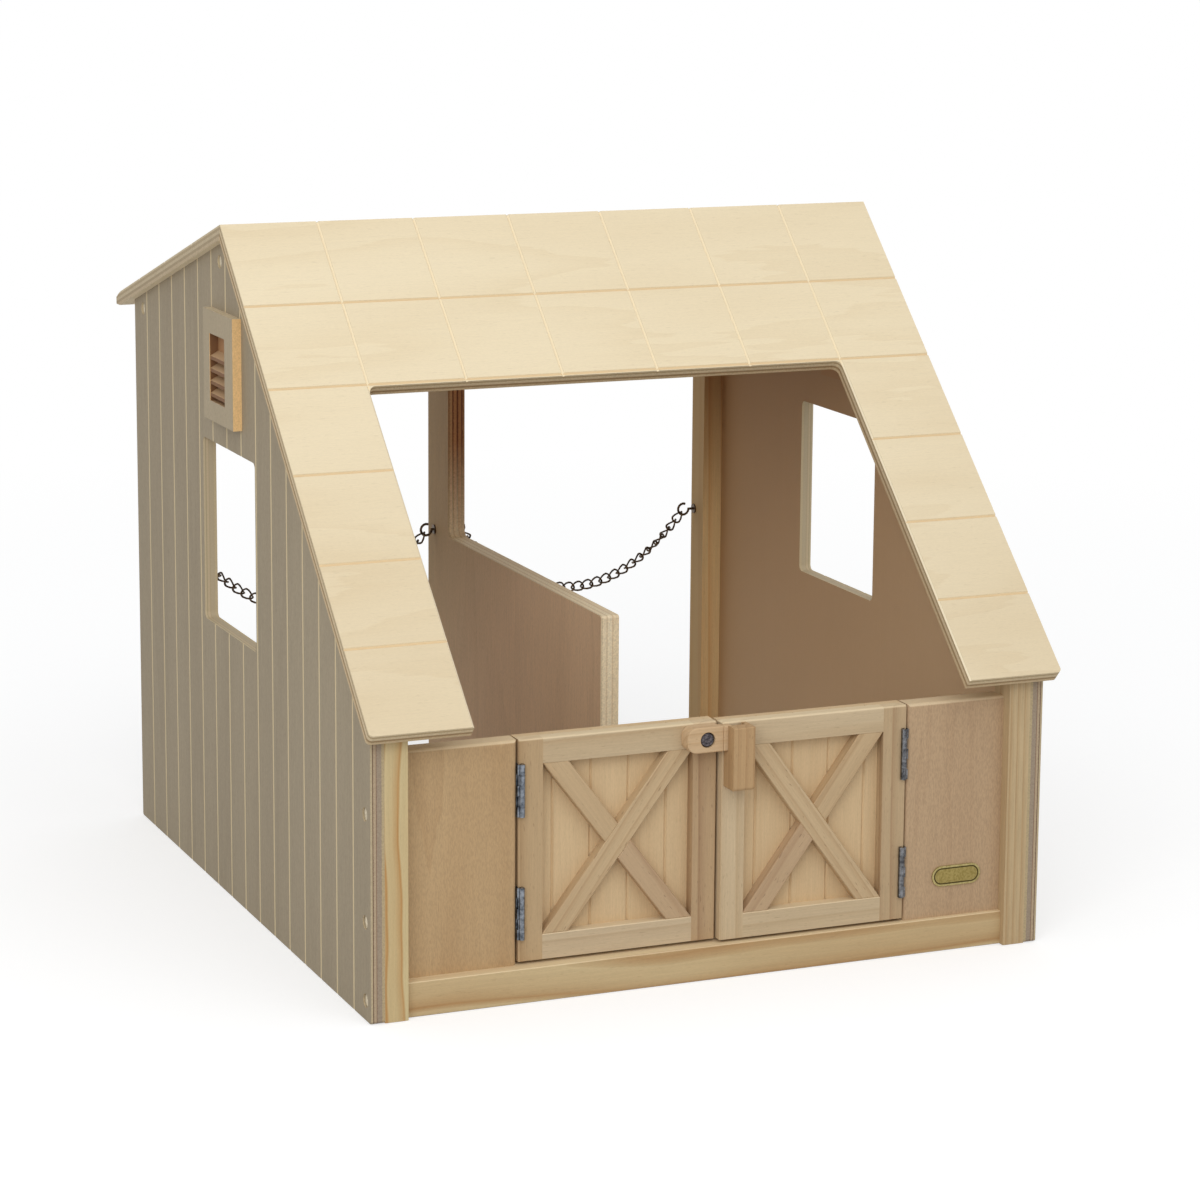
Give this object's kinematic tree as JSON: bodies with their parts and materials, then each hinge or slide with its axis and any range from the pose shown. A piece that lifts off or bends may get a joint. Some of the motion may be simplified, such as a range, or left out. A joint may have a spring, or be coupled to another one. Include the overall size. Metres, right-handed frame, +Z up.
{
  "type": "toy barn",
  "caption": "Wooden two-stall toy barn with a lean-to roof, half doors on hinges with a turn latch, side windows, louvred vents and chains across the back.",
  "frame": {"origin": "bottom centre of the whole barn, on the surface that it stands on", "axes": "+Z up, +X to the right of someone who faces the doors, the doors face -Y"},
  "size_m": [0.4692, 0.553, 0.4561],
  "materials": {
    "roof_ply": "pale bare plywood",
    "wall_ply": "bare plywood",
    "pine": "bare pine",
    "door_board": "bare plywood",
    "vent": "bare fibreboard",
    "steel": "plated",
    "dark_steel": "dark",
    "bronze": "dark bronze"
  },
  "bodies": {
    "barn": {"front_left_panel": "pine", "front_left_post": "pine", "front_right_panel": "pine", "front_right_post": "pine", "front_sill": "pine", "left_gable_vent": "vent", "left_lower_hinge_frame_leaf": "steel", "left_side_wall": "wall_ply", "left_stall_cup_hook": "bronze", "left_stall_screw_eye": "bronze", "left_upper_hinge_frame_leaf": "steel", "rear_left_post": "pine", "rear_right_post": "pine", "rear_top_rail": "pine", "ridge_beam": "pine", "right_gable_vent": "vent", "right_lower_hinge_frame_leaf": "steel", "right_side_wall": "wall_ply", "right_stall_cup_hook": "bronze", "right_stall_screw_eye": "bronze", "right_upper_hinge_frame_leaf": "steel", "roof_back_panel": "roof_ply", "roof_front_panel": "roof_ply", "stall_divider": "wall_ply", "wall_screws": "dark_steel"},
    "left_door": {"latch_screw": "dark_steel", "left_door_board": "door_board", "left_door_bottom_rail": "pine", "left_door_hinge_stile": "pine", "left_door_long_brace": "pine", "left_door_lower_short_brace": "pine", "left_door_meeting_stile": "pine", "left_door_top_rail": "pine", "left_door_upper_short_brace": "pine", "left_lower_hinge_door_leaf": "steel", "left_lower_hinge_pin": "steel", "left_upper_hinge_door_leaf": "steel", "left_upper_hinge_pin": "steel"},
    "right_door": {"latch_keeper": "pine", "right_door_board": "door_board", "right_door_bottom_rail": "pine", "right_door_hinge_stile": "pine", "right_door_long_brace": "pine", "right_door_lower_short_brace": "pine", "right_door_meeting_stile": "pine", "right_door_top_rail": "pine", "right_door_upper_short_brace": "pine", "right_lower_hinge_door_leaf": "steel", "right_lower_hinge_pin": "steel", "right_upper_hinge_door_leaf": "steel", "right_upper_hinge_pin": "steel"},
    "latch": {"latch_arm": "pine"},
    "left_chain": {"left_stall_chain": "bronze"},
    "right_chain": {"right_stall_chain": "bronze"}
  },
  "joints": [
    {"name": "left_door_hinge", "type": "hinge", "parent": "barn", "child": "left_door", "pos_m": [-0.1266, -0.2504, 0.094], "axis": [0, 0, 1], "range_deg": [-150, 0]},
    {"name": "right_door_hinge", "type": "hinge", "parent": "barn", "child": "right_door", "pos_m": [0.1325, -0.2554, 0.094], "axis": [0, 0, 1], "range_deg": [0, 150]},
    {"name": "latch_turn", "type": "hinge", "parent": "left_door", "child": "latch", "pos_m": [-0.0066, -0.2545, 0.156], "axis": [0, -1, 0], "range_deg": [0, 90]},
    {"name": "left_chain_swing", "type": "hinge", "parent": "barn", "child": "left_chain", "pos_m": [-0.10425, 0.233, 0.19713], "axis": [1, 0, -0.0099], "range_deg": [-45, 45]},
    {"name": "right_chain_swing", "type": "hinge", "parent": "barn", "child": "right_chain", "pos_m": [0.10425, 0.233, 0.19713], "axis": [1, 0, 0.0099], "range_deg": [-45, 45]}
  ]
}
